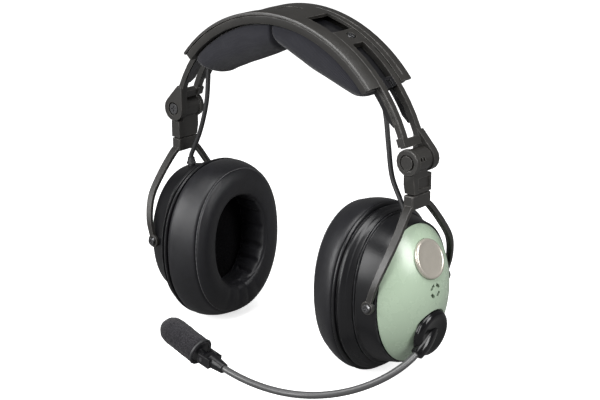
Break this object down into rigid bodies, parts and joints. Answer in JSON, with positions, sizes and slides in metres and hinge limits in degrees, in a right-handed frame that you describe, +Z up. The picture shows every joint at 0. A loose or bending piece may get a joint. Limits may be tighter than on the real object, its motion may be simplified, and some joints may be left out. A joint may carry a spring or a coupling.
{
  "type": "aviation headset",
  "caption": "Folding over-ear headset with padded headband, sliding arms, yoke-hung padded ear cups and a bendable microphone boom.",
  "frame": {"origin": "centre of the whole headset's footprint (its bounding box seen from above), at its lowest point", "axes": "+Z up; -Y is the way the wearer faces; +X is the wearer's left, the boom's side"},
  "size_m": [0.2316, 0.1418, 0.2195],
  "materials": {
    "satin_grey_plastic": "fine satin grain",
    "black_plastic": "fine moulded grain",
    "gloss_black_plastic": "polished",
    "sage_green_plastic": "smooth semi-gloss",
    "black_leather": "soft leatherette with fine creases",
    "pad_fabric": "woven, matt",
    "black_foam": "open-cell foam, matt",
    "driver_steel": "plated",
    "dark_screw_steel": "dark plated",
    "badge_silver": "polished with a bevelled rim",
    "cable_rubber": "matt moulded jacket",
    "circuit_board": "solder mask"
  },
  "bodies": {
    "headband": {"band_cover": "satin_grey_plastic", "band_tray": "satin_grey_plastic", "band_frame": "black_plastic", "head_pad_left": "pad_fabric", "head_pad_right": "pad_fabric", "guide_clip_left": "black_plastic", "guide_clip_right": "black_plastic"},
    "slider_left": {"slider_arm_left": "satin_grey_plastic", "arm_stop_screw_left": "dark_screw_steel", "hinge_pin_left": "satin_grey_plastic", "hinge_screw_left": "dark_screw_steel"},
    "hinge_block_left": {"swivel_block_left": "satin_grey_plastic"},
    "yoke_assembly_left": {"yoke_left": "satin_grey_plastic", "swivel_screw_left": "dark_screw_steel"},
    "ear_cup_left": {"front_pivot_screw_left": "dark_screw_steel", "rear_pivot_screw_left": "dark_screw_steel", "cup_shell_left": "black_plastic", "dome_cover_left": "sage_green_plastic", "badge_left": "badge_silver", "cushion_plate_left": "black_plastic", "ear_cushion_left": "black_leather", "ear_scrim_left": "black_foam", "baffle_left": "black_plastic", "speaker_left": "driver_steel", "damping_foam_left": "black_foam", "circuit_board_left": "circuit_board", "cable_grommet_left": "cable_rubber", "crossover_cable_left": "cable_rubber"},
    "slider_right": {"slider_arm_right": "satin_grey_plastic", "arm_stop_screw_right": "dark_screw_steel", "hinge_pin_right": "satin_grey_plastic", "hinge_screw_right": "dark_screw_steel"},
    "hinge_block_right": {"swivel_block_right": "satin_grey_plastic"},
    "yoke_assembly_right": {"yoke_right": "satin_grey_plastic", "swivel_screw_right": "dark_screw_steel"},
    "ear_cup_right": {"front_pivot_screw_right": "dark_screw_steel", "rear_pivot_screw_right": "dark_screw_steel", "cup_shell_right": "black_plastic", "dome_cover_right": "sage_green_plastic", "badge_right": "badge_silver", "cushion_plate_right": "black_plastic", "ear_cushion_right": "black_leather", "ear_scrim_right": "black_foam", "baffle_right": "black_plastic", "speaker_right": "driver_steel", "damping_foam_right": "black_foam", "circuit_board_right": "circuit_board", "cable_grommet_right": "cable_rubber", "crossover_cable_right": "cable_rubber"},
    "boom_base": {"boom_knob": "gloss_black_plastic", "boom_knob_screw": "dark_screw_steel", "boom_washer": "cable_rubber", "boom_tube_base": "cable_rubber"},
    "boom_front": {"boom_tube_tip": "cable_rubber", "mic_bracket": "black_plastic", "mic_pin": "dark_screw_steel"},
    "microphone": {"mic_capsule": "black_plastic", "mic_muff": "black_foam", "muff_ring": "cable_rubber"}
  },
  "joints": [
    {"name": "slide_left", "type": "hinge", "parent": "headband", "child": "slider_left", "pos_m": [-0.00124, 0.0233, 0.1166], "axis": [0, 1, 0], "range_deg": [-3.5, 14], "deforming": ["crossover_cable_left"]},
    {"name": "slide_right", "type": "hinge", "parent": "headband", "child": "slider_right", "pos_m": [-0.00124, 0.0233, 0.1166], "axis": [0, -1, 0], "range_deg": [-3.5, 14], "deforming": ["crossover_cable_right"]},
    {"name": "fold_left", "type": "hinge", "parent": "slider_left", "child": "hinge_block_left", "pos_m": [0.09766, 0.0233, 0.1409], "axis": [0, 1, 0], "range_deg": [0, 68], "deforming": ["crossover_cable_left"]},
    {"name": "fold_right", "type": "hinge", "parent": "slider_right", "child": "hinge_block_right", "pos_m": [-0.10014, 0.0233, 0.1409], "axis": [0, 1, 0], "range_deg": [-68, 0], "deforming": ["crossover_cable_right"]},
    {"name": "swivel_left", "type": "hinge", "parent": "hinge_block_left", "child": "yoke_assembly_left", "pos_m": [0.09766, 0.0233, 0.1201], "axis": [0, 0, 1], "range_deg": [-18, 18], "deforming": ["crossover_cable_left"]},
    {"name": "swivel_right", "type": "hinge", "parent": "hinge_block_right", "child": "yoke_assembly_right", "pos_m": [-0.10014, 0.0233, 0.1201], "axis": [0, 0, 1], "range_deg": [-18, 18], "deforming": ["crossover_cable_right"]},
    {"name": "tilt_left", "type": "hinge", "parent": "yoke_assembly_left", "child": "ear_cup_left", "pos_m": [0.09146, 0.0233, 0.05605], "axis": [0, 1, 0], "range_deg": [-15, 15], "deforming": ["crossover_cable_left"]},
    {"name": "tilt_right", "type": "hinge", "parent": "yoke_assembly_right", "child": "ear_cup_right", "pos_m": [-0.09394, 0.0233, 0.05605], "axis": [0, -1, 0], "range_deg": [-15, 15], "deforming": ["crossover_cable_right"]},
    {"name": "boom_rotate", "type": "hinge", "parent": "ear_cup_left", "child": "boom_base", "pos_m": [0.10806, 0.0233, 0.0335], "axis": [0.9888, 0, -0.1495], "range_deg": [-50, 150]},
    {"name": "boom_flex", "type": "hinge", "parent": "boom_base", "child": "boom_front", "pos_m": [0.08744, -0.03405, 0.00626], "axis": [-0.1212, -0.1196, 0.9854], "range_deg": [-20, 20]},
    {"name": "mic_tilt", "type": "hinge", "parent": "boom_front", "child": "microphone", "pos_m": [0.00165, -0.0617, 0.01409], "axis": [0, 1, 0], "range_deg": [-25, 25]}
  ]
}
